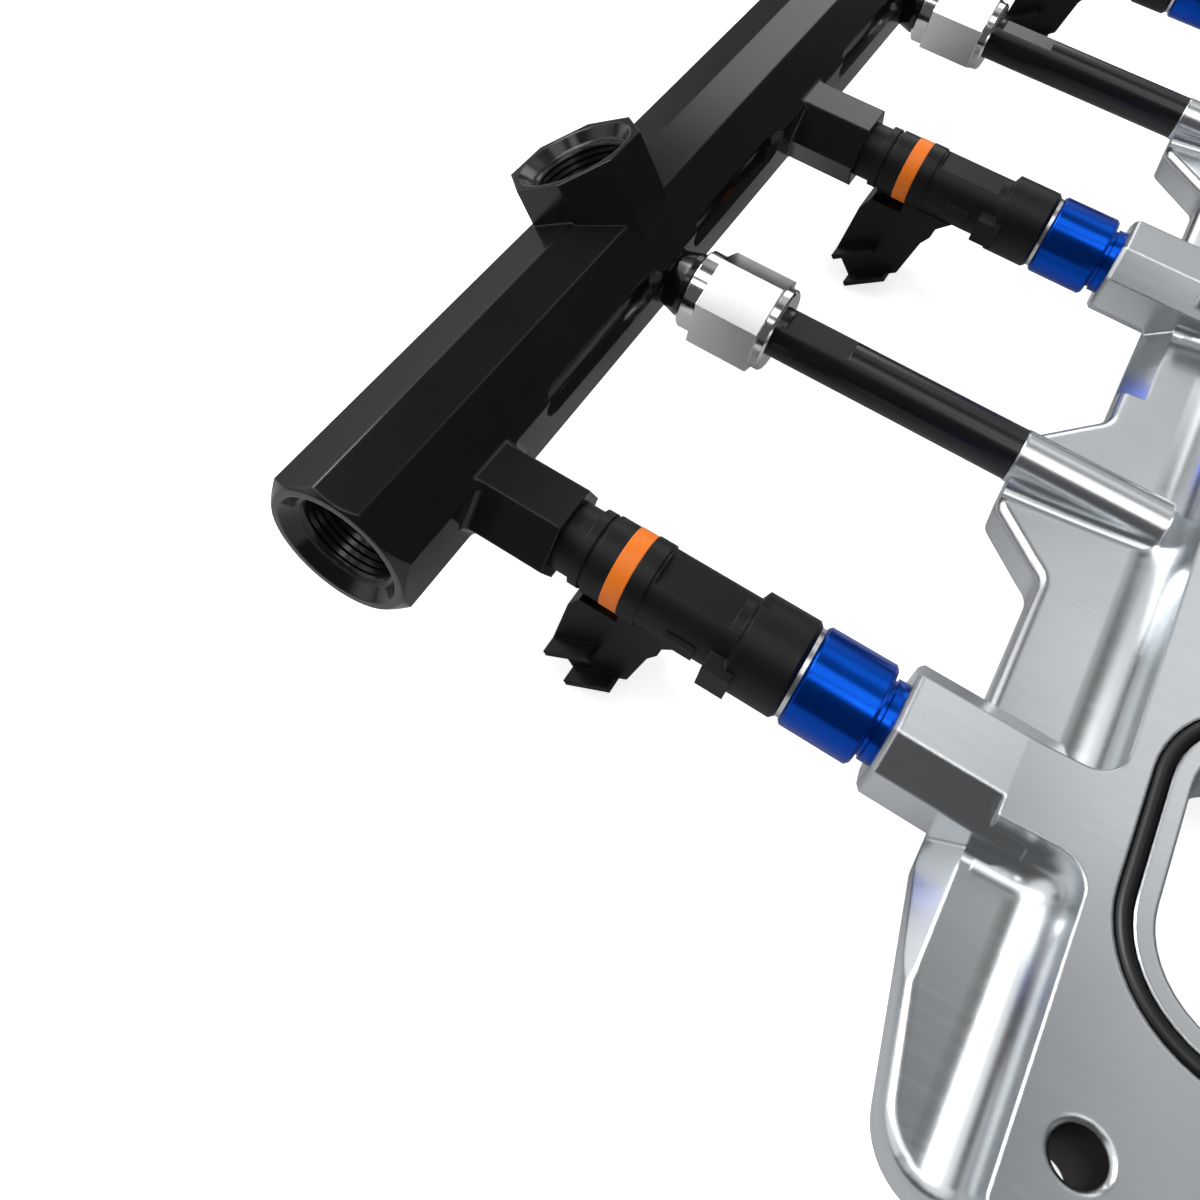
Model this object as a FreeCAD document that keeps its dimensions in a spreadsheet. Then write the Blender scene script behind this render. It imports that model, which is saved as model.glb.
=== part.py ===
import FreeCAD, Part
import math
import os
import Sketcher

# Port injection plate: a fuel rail and injectors carried over a ported aluminium plate.
# Frame: +X along the rail, +Y from the ports towards the rail, +Z up out of the plate.
# The origin is on the plate's lower face, at the centre of the bolt holes.

os.makedirs("parts", exist_ok=True)
doc = FreeCAD.newDocument("port_injection_plate")

# Driving sizes, in millimetres and degrees
SIZES = {
    "injector_count": 3,
    "pitch": 141.5,
    "tilt_deg": 8,
    "rail_y": 163.15,
    "rail_z": 26.16,
    "rail_flat": 15.06,
    "facet_deg": 54,
    "rail_overhang": 27.8,
    "end_ring_r": 14.74,
    "gallery_r": 7,
    "port_rim_r": 13.2,
    "port_seat_depth": 2.6,
    "port_seat_r": 11.2,
    "port_tap_r": 10.4,
    "port_tap_depth": 17,
    "port_drill_depth": 20,
    "top_port_deg": 126,
    "top_port_face": 23.9,
    "top_port_flat": 14.5,
    "top_port_drill_r": 5.5,
    "rail_boss_flat": 8.7,
    "rail_boss_face": 32.3,
    "rail_boss_foot": 1.5,
    "rail_bore_r": 6.6,
    "rail_bore_floor": 16,
    "rail_feed_r": 3,
    "scallop_r": 5,
    "scallop_out": 2.2,
    "scallop_from": 22,
    "scallop_to": 59,
    "stub_face": 20.6,
    "stub_flare_r": 7.6,
    "stub_r": 5.8,
    "stub_end": 30,
    "nut_bore_r": 5.9,
    "nut_collar_r": 9.3,
    "nut_hex_flat": 10,
    "nut_hex_from": 24.7,
    "nut_hex_to": 39.5,
    "nut_back_r": 9.7,
    "nut_end": 41.8,
    "tube_r": 5.8,
    "tube_start": 31.5,
    "tube_seat": 97,
    "tube_bore_r": 2.5,
    "tube_flat": 4.9,
    "tube_flat_from": 43.5,
    "tube_flat_to": 58,
    "spigot_r": 4,
    "spigot_length": 14,
    "spigot_clearance": 0.1,
    "ridge_r": 6,
    "ridge_end": 128,
    "neck_r": 7,
    "lip_from": 36.5,
    "lip_to": 38.5,
    "lip_r": 7.8,
    "notch_to": 39.3,
    "notch_r": 7.3,
    "barrel_r": 8,
    "band_from": 43.5,
    "band_to": 47.2,
    "band_r": 8.1,
    "band_seat_r": 7.3,
    "collar_to": 50.7,
    "collar_r": 8.3,
    "body_r": 7.9,
    "foot_from": 68.5,
    "foot_to": 80.1,
    "foot_r": 9.7,
    "foot_bevel": 0.8,
    "fit_clearance": 0.05,
    "core_r": 4.6,
    "core_start": 17,
    "core_collar_from": 21,
    "core_collar_to": 23,
    "core_bore_r": 1.5,
    "core_flange_to": 80.9,
    "core_flange_r": 8.8,
    "outlet_r": 4.8,
    "outlet_to": 89,
    "nozzle_r": 3.4,
    "nozzle_to": 92,
    "spigot_in_rail": 3.5,
    "inlet_seal_back": 6.3,
    "outlet_seal_back": 3,
    "seal_clearance": 0.03,
    "label_flat": 6.9,
    "label_from": 51.4,
    "label_to": 66.5,
    "rib_out": 8.6,
    "rib_half": 1.6,
    "rib_from": 57,
    "rib_to": 63,
    "tab_half": 3.2,
    "tab_out": 11,
    "tab_from": 65.5,
    "tab_to": 71,
    "notch_floor": 8.3,
    "notch_near": 2,
    "notch_far": 5.2,
    "notch_start": 68,
    "notch_end": 71,
    "socket_half": 5.8,
    "socket_wall": 1.2,
    "wing_half": 9.5,
    "wing_thick": 1.3,
    "wing_length": 12,
    "socket_deg": 40,
    "socket_mouth_v": 38.6,
    "socket_mouth_w": 32.4,
    "socket_height": 10,
    "socket_depth": 9,
    "blade_gap": 5.8,
    "blade_thick": 0.7,
    "blade_wide": 1.6,
    "blade_long": 6.5,
    "arm_v_low": 37,
    "arm_v_high": 57,
    "arm_w_low": 13,
    "adapter_end": 94.6,
    "adapter_r": 9.75,
    "adapter_chamfer": 0.6,
    "adapter_groove": 0.9,
    "adapter_socket_r": 6.3,
    "adapter_socket_floor": 93,
    "adapter_neck_r": 7.85,
    "adapter_seat": 110,
    "adapter_seal_back": 6,
    "adapter_seal_cord": 2,
    "passage_r": 4,
    "boss_front": 97.3,
    "boss_top": 10.2,
    "boss_half": 11.6,
    "boss_flat_half": 5.8,
    "boss_end": 124,
    "boss_chamfer": 0.9,
    "plate_thick": 20,
    "slab_thick": 9,
    "plate_far": 36,
    "plate_end": 61.5,
    "plate_corner_r": 12,
    "wall_y": 53.8,
    "end_wall_y": 43.85,
    "crest_y": 46,
    "plateau_y": 30.9,
    "plateau_fillet": 9.2,
    "web_half": 24,
    "web_mid_half": 21,
    "web_mid_y": 57,
    "web_tip_half": 11,
    "web_tip_y": 67,
    "web_tip_corner": 4,
    "web_foot_corner": 5,
    "neck_near": 9.8,
    "neck_far": 5.7,
    "pocket_corner": 5.5,
    "rim_r": 2.5,
    "wedge_y": 47.8,
    "wedge_long": 25.4,
    "wedge_deg": 35,
    "port_half_x": 26,
    "port_half_y": 21,
    "port_corner": 15,
    "groove_margin": 3.05,
    "groove_wide": 2.9,
    "groove_deep": 2,
    "cord_r": 1.3,
    "bolt_end_inset": 12.8,
    "bolt_row": 21.85,
    "bolt_r": 3.85,
    "bolt_chamfer": 0.7,
}

sheet = doc.addObject("Spreadsheet::Sheet", "size")
for row, (name, number) in enumerate(SIZES.items(), start=1):
    sheet.set(f"A{row}", name)
    sheet.set(f"B{row}", str(number))
    sheet.setAlias(f"B{row}", name)
doc.recompute()


def linked(expression):
    """Point each size name in an expression at its cell in the sheet."""
    words = expression
    for name in sorted(SIZES, key=len, reverse=True):
        words = words.replace(f"[{name}]", f"size.{name}")
    return words


def value(expression):
    """The number that an expression of the sheet's sizes comes to now."""
    return float(sheet.evalExpression(linked(expression)))


def bind(item, prop, expression):
    item.setExpression(prop, linked(expression))


def new_body(label):
    body = doc.addObject("PartDesign::Body", label)
    body.Label = label
    return body


def origin_plane(body, role):
    for feature in body.Origin.OriginFeatures:
        if feature.Role == role:
            return feature
    raise ValueError(role)


def new_sketch(body, name, role, shift, turn):
    """A sketch on an origin plane, moved by three expressions and turned about its own x."""
    sketch = body.newObject("Sketcher::SketchObject", name)
    sketch.AttachmentSupport = [(origin_plane(body, role), "")]
    sketch.MapMode = "FlatFace"
    sketch.AttachmentOffset = FreeCAD.Placement(
        FreeCAD.Vector(0, 0, 0),
        FreeCAD.Rotation(FreeCAD.Vector(1, 0, 0), 10),
    )
    for axis, expression in zip("xyz", shift):
        bind(sketch, f"AttachmentOffset.Base.{axis}", expression)
    bind(sketch, "AttachmentOffset.Rotation.Angle", f"({turn}) * 1deg")
    return sketch


def pin_point(sketch, geometry, end, x, y):
    for kind, expression in (("DistanceX", x), ("DistanceY", y)):
        constraint = Sketcher.Constraint(kind, -1, 1, geometry, end, value(expression))
        index = sketch.addConstraint(constraint)
        bind(sketch, f"Constraints[{index}]", expression)


HERE = ("0", "0", "0")


def polygon(body, name, role, corners, shift=HERE, turn="0"):
    """A closed sketch through corners given as pairs of expressions."""
    sketch = new_sketch(body, name, role, shift, turn)
    points = [FreeCAD.Vector(value(x), value(y), 0) for x, y in corners]
    count = len(points)
    for index in range(count):
        line = Part.LineSegment(points[index], points[(index + 1) % count])
        sketch.addGeometry(line, False)
    for index in range(count):
        joined = Sketcher.Constraint("Coincident", index, 2, (index + 1) % count, 1)
        sketch.addConstraint(joined)
    for index, (x, y) in enumerate(corners):
        pin_point(sketch, index, 1, x, y)
    return sketch


def circles(body, name, role, rounds, shift=HERE, turn="0"):
    """A sketch of circles, each given as x, y and radius expressions."""
    sketch = new_sketch(body, name, role, shift, turn)
    up = FreeCAD.Vector(0, 0, 1)
    for index, (x, y, radius) in enumerate(rounds):
        centre = FreeCAD.Vector(value(x), value(y), 0)
        sketch.addGeometry(Part.Circle(centre, up, value(radius)), False)
        pin_point(sketch, index, 3, x, y)
        constraint = Sketcher.Constraint("Radius", index, value(radius))
        number = sketch.addConstraint(constraint)
        bind(sketch, f"Constraints[{number}]", radius)
    return sketch


def add_rounded(sketch, x, half_x, half_y, radius):
    """Add a rounded rectangle centred on (x, 0) to a sketch."""
    first = sketch.GeometryCount
    corners = []
    for side_x, side_y in ((-1, -1), (1, -1), (1, 1), (-1, 1)):
        outer_x = f"({x}) + ({side_x}) * ({half_x})"
        outer_y = f"({side_y}) * ({half_y})"
        inner_x = f"({x}) + ({side_x}) * (({half_x}) - ({radius}))"
        inner_y = f"({side_y}) * (({half_y}) - ({radius}))"
        corners.append((outer_x, outer_y, inner_x, inner_y))
    low_left, low_right, high_right, high_left = corners
    ends = [
        ((low_left[2], low_left[1]), (low_right[2], low_right[1])),
        ((low_right[0], low_right[3]), (high_right[0], high_right[3])),
        ((high_right[2], high_right[1]), (high_left[2], high_left[1])),
        ((high_left[0], high_left[3]), (low_left[0], low_left[3])),
    ]
    for start, finish in ends:
        start_point = FreeCAD.Vector(value(start[0]), value(start[1]), 0)
        finish_point = FreeCAD.Vector(value(finish[0]), value(finish[1]), 0)
        sketch.addGeometry(Part.LineSegment(start_point, finish_point), False)
    centres = [low_right, high_right, high_left, low_left]
    for index, corner in enumerate(centres):
        centre = FreeCAD.Vector(value(corner[2]), value(corner[3]), 0)
        circle = Part.Circle(centre, FreeCAD.Vector(0, 0, 1), value(radius))
        start_angle = math.radians(90 * index - 90)
        arc = Part.ArcOfCircle(circle, start_angle, start_angle + math.pi / 2)
        sketch.addGeometry(arc, False)
    for index, (start, finish) in enumerate(ends):
        pin_point(sketch, first + index, 1, *start)
        pin_point(sketch, first + index, 2, *finish)
    for index in range(4):
        line = first + index
        arc = first + 4 + index
        following = first + (index + 1) % 4
        sketch.addConstraint(Sketcher.Constraint("Coincident", line, 2, arc, 1))
        sketch.addConstraint(Sketcher.Constraint("Coincident", arc, 2, following, 1))
        constraint = Sketcher.Constraint("Radius", arc, value(radius))
        number = sketch.addConstraint(constraint)
        bind(sketch, f"Constraints[{number}]", radius)


def pad(body, name, sketch, length, both_ways=False):
    feature = body.newObject("PartDesign::Pad", name)
    feature.Profile = sketch
    feature.SideType = "Symmetric" if both_ways else "One side"
    bind(feature, "Length", length)
    return feature


def pocket(body, name, sketch, depth, both_ways=False, along=False):
    """Cut a sketch; along cuts on the side that the sketch faces."""
    feature = body.newObject("PartDesign::Pocket", name)
    feature.Profile = sketch
    feature.SideType = "Symmetric" if both_ways else "One side"
    feature.Reversed = along
    bind(feature, "Length", depth)
    return feature


def turned(body, name, corners, shift=HERE, turn="0", cut=False, role="XZ_Plane", axis="V_Axis"):
    """Turn a sketch about its own axis, as added or removed material."""
    sketch = polygon(body, name + "_profile", role, corners, shift, turn)
    kind = "PartDesign::Groove" if cut else "PartDesign::Revolution"
    feature = body.newObject(kind, name)
    feature.Profile = sketch
    feature.ReferenceAxis = (sketch, [axis])
    feature.Angle = 360
    return feature


def row_of(body, name, features, count, spacing):
    """Repeat features along the rail."""
    pattern = body.newObject("PartDesign::LinearPattern", name)
    pattern.Originals = features
    pattern.Direction = (origin_plane(body, "X_Axis"), [""])
    bind(pattern, "Length", f"({count} - 1) * ({spacing})")
    bind(pattern, "Occurrences", count)
    body.Tip = pattern
    return pattern


def edges_where(feature, test):
    """Names of the edges of a feature's shape that pass a test."""
    names = []
    for index, edge in enumerate(feature.Shape.Edges, start=1):
        if test(edge):
            names.append(f"Edge{index}")
    if not names:
        raise ValueError("no edge found on " + feature.Name)
    return names


def dress(body, kind, name, feature, test, size):
    """Fillet or chamfer the edges of the last feature that pass a test."""
    doc.recompute()
    result = body.newObject("PartDesign::" + kind, name)
    result.Base = (feature, edges_where(feature, test))
    bind(result, "Radius" if kind == "Fillet" else "Size", size)
    return result


def near(first, second):
    return abs(first - second) < 0.01


def all_points(edge, test):
    return all(test(vertex.Point) for vertex in edge.Vertexes)


def on_injector_frame(body, station):
    """Seat a body's own frame on the rail axis at a station, Z down the injector."""
    body.Placement = FreeCAD.Placement(
        FreeCAD.Vector(0, 0, 0),
        FreeCAD.Rotation(FreeCAD.Vector(1, 0, 0), 10),
    )
    bind(body, "Placement.Base.x", station)
    bind(body, "Placement.Base.y", "[rail_y]")
    bind(body, "Placement.Base.z", "[rail_z]")
    bind(body, "Placement.Rotation.Angle", "(90 + [tilt_deg]) * 1deg")


COUNT = int(value("[injector_count]"))
FIRST = "-([injector_count] - 1) / 2 * [pitch]"
FIRST_STANDOFF = "-([injector_count] - 2) / 2 * [pitch]"
COS_FACET = "cos([facet_deg] * 1deg)"
SIN_FACET = "sin([facet_deg] * 1deg)"
CORNER = f"[rail_flat] * (1 - {COS_FACET}) / {SIN_FACET}"
SHOULDER = f"[rail_flat] * (1 - {SIN_FACET}) / {COS_FACET}"
RAIL_HALF = "(([injector_count] - 1) / 2 * [pitch] + [rail_overhang])"


def station(index):
    return f"({index} - ([injector_count] - 1) / 2) * [pitch]"


def standoff_station(index):
    return f"({index} - ([injector_count] - 2) / 2) * [pitch]"


def tilted(distance):
    """Sketch shift to a plane square to the injectors, at a distance from the rail axis."""
    return (
        "0",
        f"[rail_y] - ({distance}) * cos([tilt_deg] * 1deg)",
        f"[rail_z] - ({distance}) * sin([tilt_deg] * 1deg)",
    )


TILTED_TURN = "90 + [tilt_deg]"


# Plate, with its injector bosses, standoff webs and intake ports
plate = new_body("plate")
PLATE_HALF = "(([injector_count] - 1) / 2 * [pitch] + [plate_end])"

outline = []
outline.append((f"-{PLATE_HALF}", "-[plate_far]"))
outline.append((f"{PLATE_HALF}", "-[plate_far]"))
outline.append((f"{PLATE_HALF}", "[end_wall_y]"))
outline.append((f"{station(COUNT - 1)} + [boss_half] + 5", "[wall_y]"))
for index in reversed(range(COUNT - 1)):
    centre = standoff_station(index)
    outline.append((f"{centre} + [web_half]", "[wall_y]"))
    outline.append((f"{centre} + [web_mid_half]", "[web_mid_y]"))
    outline.append((f"{centre} + [web_tip_half]", "[web_tip_y]"))
    outline.append((f"{centre} - [web_tip_half]", "[web_tip_y]"))
    outline.append((f"{centre} - [web_mid_half]", "[web_mid_y]"))
    outline.append((f"{centre} - [web_half]", "[wall_y]"))
outline.append((f"{station(0)} - [boss_half] - 5", "[wall_y]"))
outline.append((f"-{PLATE_HALF}", "[end_wall_y]"))
slab_sketch = polygon(plate, "slab_outline", "XY_Plane", outline)
slab = pad(plate, "slab", slab_sketch, "[slab_thick]")


def upright_at(places):
    """A test for upright edges over any of the given plan positions."""
    def test(edge):
        first, last = edge.Vertexes[0].Point, edge.Vertexes[-1].Point
        return near(first.x, last.x) and near(first.y, last.y) and any(
            near(first.x, x) and near(first.y, y) for x, y in places
        )
    return test


def web_corners(half, reach):
    places = []
    for index in range(COUNT - 1):
        for side in (-1, 1):
            x = value(standoff_station(index)) + side * value(half)
            places.append((x, value(reach)))
    return places


web_tips = dress(
    plate, "Fillet", "web_tips", slab,
    upright_at(web_corners("[web_tip_half]", "[web_tip_y]")), "[web_tip_corner]",
)
web_feet = dress(
    plate, "Fillet", "web_feet", web_tips,
    upright_at(web_corners("[web_half]", "[wall_y]")), "[web_foot_corner]",
)

plateau_corners = [
    (f"-{PLATE_HALF}", "-[plate_far]"),
    (f"{PLATE_HALF}", "-[plate_far]"),
    (f"{PLATE_HALF}", "[plateau_y]"),
    (f"-{PLATE_HALF}", "[plateau_y]"),
]
plateau_sketch = polygon(plate, "plateau_outline", "XY_Plane", plateau_corners)
plateau = pad(plate, "plateau", plateau_sketch, "[plate_thick]")

rounded_plate = dress(
    plate, "Fillet", "plate_corners", plateau,
    lambda edge: all_points(edge, lambda p: near(abs(p.x), value(PLATE_HALF)))
    and near(edge.Vertexes[0].Point.x, edge.Vertexes[1].Point.x)
    and near(edge.Vertexes[0].Point.y, edge.Vertexes[1].Point.y)
    and not near(edge.Vertexes[0].Point.y, value("[plateau_y]")),
    "[plate_corner_r]",
)

plateau_foot = dress(
    plate, "Fillet", "plateau_foot", rounded_plate,
    lambda edge: all_points(
        edge, lambda p: near(p.y, value("[plateau_y]")) and near(p.z, value("[slab_thick]"))
    ),
    "[plateau_fillet]",
)

neck_corners = [
    (f"{FIRST} - [neck_near]", "[plateau_y] - 4"),
    (f"{FIRST} + [neck_far]", "[plateau_y] - 4"),
    (f"{FIRST} + [neck_far]", "[crest_y]"),
    (f"{FIRST} - [neck_near]", "[crest_y]"),
]
neck_sketch = polygon(plate, "neck_outline", "XY_Plane", neck_corners)
neck = pad(plate, "neck", neck_sketch, "[plate_thick]")
necks = row_of(plate, "necks", [neck], "[injector_count]", "[pitch]")


def on_neck_side(edge):
    """Inner edges where a neck's sides meet the floor and the back wall."""
    sides = []
    for index in range(COUNT):
        sides.append(value(station(index)) - value("[neck_near]"))
        sides.append(value(station(index)) + value("[neck_far]"))
    points = [vertex.Point for vertex in edge.Vertexes]
    return (
        any(all(near(p.x, side) for p in points) for side in sides)
        and all(p.z > value("[slab_thick]") - 0.01 for p in points)
        and not all(near(p.z, value("[plate_thick]")) for p in points)
        and not all(near(p.y, value("[crest_y]")) for p in points)
    )


neck_feet = dress(plate, "Fillet", "neck_feet", necks, on_neck_side, "[pocket_corner]")


def on_outer_rim(edge):
    """Upper edges of the slab's outer wall, up to the plate's ends."""
    first, last = edge.Vertexes[0].Point, edge.Vertexes[-1].Point
    if not all_points(edge, lambda p: near(p.z, value("[slab_thick]"))):
        return False
    if min(first.y, last.y) > value("[wall_y]") - 0.01:
        return True
    beyond = value(station(COUNT - 1)) + value("[boss_half]") + 1
    slanted = abs(first.x - last.x) > 0.5 and abs(first.y - last.y) > 0.5
    return slanted and min(abs(first.x), abs(last.x)) > beyond


rim = dress(plate, "Fillet", "rim", neck_feet, on_outer_rim, "[rim_r]")

# Slope that falls away to the outer wall, on the near side of each injector boss
wedge_sketch = polygon(
    plate, "wedge_section", "YZ_Plane",
    [
        ("[wedge_y]", "[slab_thick]"),
        ("[wedge_y] + 20", "[slab_thick] - 20 * tan([wedge_deg] * 1deg)"),
        ("[wedge_y] + 20", "[slab_thick] + 10"),
        ("[wedge_y]", "[slab_thick] + 10"),
    ],
    shift=("0", "0", f"{FIRST} - [boss_half] - [wedge_long] / 2"),
)
wedge = pocket(plate, "wedge", wedge_sketch, "[wedge_long]", both_ways=True)
wedges = row_of(plate, "wedges", [wedge], "[injector_count]", "[pitch]")

boss_side = "[boss_top] - ([boss_half] - [boss_flat_half])"
boss_section = []
for side_x, x, y in (
    (1, "[boss_flat_half]", "[boss_top]"),
    (1, "[boss_half]", boss_side),
    (1, "[boss_half]", f"-({boss_side})"),
    (1, "[boss_flat_half]", "-[boss_top]"),
    (-1, "[boss_flat_half]", "-[boss_top]"),
    (-1, "[boss_half]", f"-({boss_side})"),
    (-1, "[boss_half]", boss_side),
    (-1, "[boss_flat_half]", "[boss_top]"),
):
    boss_section.append((f"{FIRST} + ({side_x}) * {x}", y))
boss_sketch = polygon(
    plate, "boss_section", "XY_Plane", boss_section, tilted("[boss_front]"), TILTED_TURN
)
boss = pad(plate, "boss", boss_sketch, "[boss_end] - [boss_front]")
bosses = row_of(plate, "bosses", [boss], "[injector_count]", "[pitch]")

ridge_rounds = [(FIRST_STANDOFF, "0", "[ridge_r]")]
ridge_sketch = circles(
    plate, "ridge_section", "XY_Plane", ridge_rounds, tilted("[tube_seat]"), TILTED_TURN
)
ridge = pad(plate, "ridge", ridge_sketch, "[ridge_end] - [tube_seat]")
ridges = row_of(plate, "ridges", [ridge], "[injector_count] - 1", "[pitch]")

trim_corners = [
    (f"-{PLATE_HALF} - 5", "-[plate_far] - 5"),
    (f"{PLATE_HALF} + 5", "-[plate_far] - 5"),
    (f"{PLATE_HALF} + 5", "[web_tip_y] + 20"),
    (f"-{PLATE_HALF} - 5", "[web_tip_y] + 20"),
]
trim_sketch = polygon(plate, "lower_face", "XY_Plane", trim_corners)
trimmed = pocket(plate, "lower_face_cut", trim_sketch, "[plate_thick]")

# Intake ports and the grooves round them
port_sketch = new_sketch(plate, "port_outline", "XY_Plane", HERE, "0")
add_rounded(port_sketch, FIRST, "[port_half_x]", "[port_half_y]", "[port_corner]")
port = pocket(plate, "port", port_sketch, "3 * [plate_thick]", both_ways=True)
ports = row_of(plate, "ports", [port], "[injector_count]", "[pitch]")

groove_sketch = new_sketch(plate, "groove_outline", "XY_Plane", ("0", "0", "[plate_thick]"), "0")
for margin in ("[groove_margin]", "([groove_margin] + [groove_wide])"):
    add_rounded(
        groove_sketch, FIRST,
        f"[port_half_x] + {margin}", f"[port_half_y] + {margin}", f"[port_corner] + {margin}",
    )
groove = pocket(plate, "groove", groove_sketch, "[groove_deep]")
grooves = row_of(plate, "grooves", [groove], "[injector_count]", "[pitch]")

# Bolt holes with a small countersink
BOLT_END = f"({PLATE_HALF} - [bolt_end_inset])"
bolt_points = []
for side_y in ("-[bolt_row]", "[bolt_row]"):
    bolt_points.append((f"-{BOLT_END}", side_y))
    bolt_points.append((BOLT_END, side_y))
    for index in range(COUNT - 1):
        bolt_points.append((standoff_station(index), side_y))
bolt_sketch = circles(
    plate, "bolt_circles", "XY_Plane", [(x, y, "[bolt_r]") for x, y in bolt_points]
)
bolt_holes = pocket(plate, "bolt_holes", bolt_sketch, "3 * [plate_thick]", both_ways=True)
bolt_mouths = dress(
    plate, "Chamfer", "bolt_mouths", bolt_holes,
    lambda edge: len(edge.Vertexes) == 1
    and near(edge.Vertexes[0].Point.z, value("[plate_thick]"))
    and near(edge.Length, 2 * math.pi * value("[bolt_r]")),
    "[bolt_chamfer]",
)

# Bores for the adapters, the fuel passages and the standoff threads
bore_sketch = circles(
    plate, "adapter_bore_circle", "XY_Plane",
    [(FIRST, "0", "[adapter_neck_r] + [fit_clearance]")], tilted("[boss_front]"), TILTED_TURN,
)
bore = pocket(
    plate, "adapter_bore", bore_sketch, "[adapter_seat] - [boss_front]", along=True
)
passage_sketch = circles(
    plate, "passage_circle", "XY_Plane",
    [(FIRST, "0", "[passage_r]")], tilted("[boss_front]"), TILTED_TURN,
)
passage_far = "([rail_y] - [port_half_y] + 6) / cos([tilt_deg] * 1deg)"
passage = pocket(plate, "passage", passage_sketch, f"{passage_far} - [boss_front]", along=True)
bores = row_of(plate, "bores", [bore, passage], "[injector_count]", "[pitch]")

tap_sketch = circles(
    plate, "standoff_tap_circle", "XY_Plane",
    [(FIRST_STANDOFF, "0", "[spigot_r] + [spigot_clearance]")],
    tilted("[tube_seat]"), TILTED_TURN,
)
tap = pocket(plate, "standoff_tap", tap_sketch, "[spigot_length] + 2", along=True)
taps = row_of(plate, "standoff_taps", [tap], "[injector_count] - 1", "[pitch]")


def on_boss_front(point):
    """Whether a point lies on the plane of the injector bosses' front faces."""
    tilt = math.radians(value("[tilt_deg]"))
    reach = (value("[rail_y]") - point.y) * math.cos(tilt)
    reach += (value("[rail_z]") - point.z) * math.sin(tilt)
    return near(reach, value("[boss_front]"))


boss_fronts = dress(
    plate, "Chamfer", "boss_fronts", taps,
    lambda edge: all_points(edge, on_boss_front) and len(edge.Vertexes) == 2
    and edge.BoundBox.ZMax > 1,
    "[boss_chamfer]",
)
plate.Tip = boss_fronts


# Fuel rail
rail = new_body("rail")
octagon = [
    (CORNER, "[rail_flat]"),
    ("[rail_flat]", SHOULDER),
    ("[rail_flat]", f"-({SHOULDER})"),
    (CORNER, "-[rail_flat]"),
    (f"-({CORNER})", "-[rail_flat]"),
    ("-[rail_flat]", f"-({SHOULDER})"),
    ("-[rail_flat]", SHOULDER),
    (f"-({CORNER})", "[rail_flat]"),
]
rail_sketch = polygon(rail, "rail_section", "YZ_Plane", octagon)
rail_bar = pad(rail, "rail_bar", rail_sketch, f"2 * {RAIL_HALF}", both_ways=True)

HEX_POINT = "[rail_boss_flat] / cos(30deg)"
hexagon = []
for turn_deg in range(0, 360, 60):
    x = f"{FIRST} + {HEX_POINT} * cos({turn_deg}deg)"
    hexagon.append((x, f"{HEX_POINT} * sin({turn_deg}deg)"))
rail_boss_sketch = polygon(rail, "rail_boss_section", "XY_Plane", hexagon)
rail_boss = pad(rail, "rail_boss", rail_boss_sketch, "[rail_boss_face]")
rail_bosses = row_of(rail, "rail_bosses", [rail_boss], "[injector_count]", "[pitch]")
FLATS = ("0", "[facet_deg]", "90", "180 - [facet_deg]", "180")


def on_rail_skin(point):
    """Whether a point lies on one of the rail's eight flats."""
    reach = 0
    for flat in FLATS:
        turn = math.radians(value(flat))
        reach = max(reach, abs(point.y) * math.sin(turn) + abs(point.z) * abs(math.cos(turn)))
    return near(reach, value("[rail_flat]"))


def on_boss_foot(edge):
    """Edges where an injector boss rises out of the rail."""
    middle = edge.valueAt((edge.FirstParameter + edge.LastParameter) / 2)
    points = [vertex.Point for vertex in edge.Vertexes] + [middle]
    reach = value(HEX_POINT) + 0.02
    return (
        all(on_rail_skin(p) and p.z > 5 for p in points)
        and any(
            all(abs(p.x - value(station(index))) < reach for p in points)
            for index in range(COUNT)
        )
    )


boss_feet = dress(rail, "Fillet", "boss_feet", rail_bosses, on_boss_foot, "[rail_boss_foot]")

stub = turned(
    rail, "stub",
    [
        ("0", "0"),
        ("[stub_r]", "0"),
        ("[stub_r] + 0.6", "[rail_flat]"),
        ("[stub_flare_r]", "[stub_face] - 1.5"),
        ("[stub_flare_r]", "[stub_face]"),
        ("[stub_r]", "[stub_face]"),
        ("[stub_r]", "[stub_end]"),
        ("0", "[stub_end]"),
    ],
    shift=(FIRST_STANDOFF, "0", "0"),
)
stubs = row_of(rail, "stubs", [stub], "[injector_count] - 1", "[pitch]")

eighth = "[top_port_flat] * tan(22.5deg)"
top_port_section = []
for x, y in (
    ("[top_port_flat]", f"-{eighth}"),
    ("[top_port_flat]", eighth),
    (eighth, "[top_port_flat]"),
    (f"-{eighth}", "[top_port_flat]"),
    ("-[top_port_flat]", eighth),
    ("-[top_port_flat]", f"-{eighth}"),
    (f"-{eighth}", "-[top_port_flat]"),
    (eighth, "-[top_port_flat]"),
):
    top_port_section.append((f"{FIRST_STANDOFF} + {x}", y))
top_port_sketch = polygon(
    rail, "top_port_section", "XY_Plane", top_port_section, HERE, "-[top_port_deg]"
)
top_port = pad(rail, "top_port", top_port_sketch, "[top_port_face]")

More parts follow.
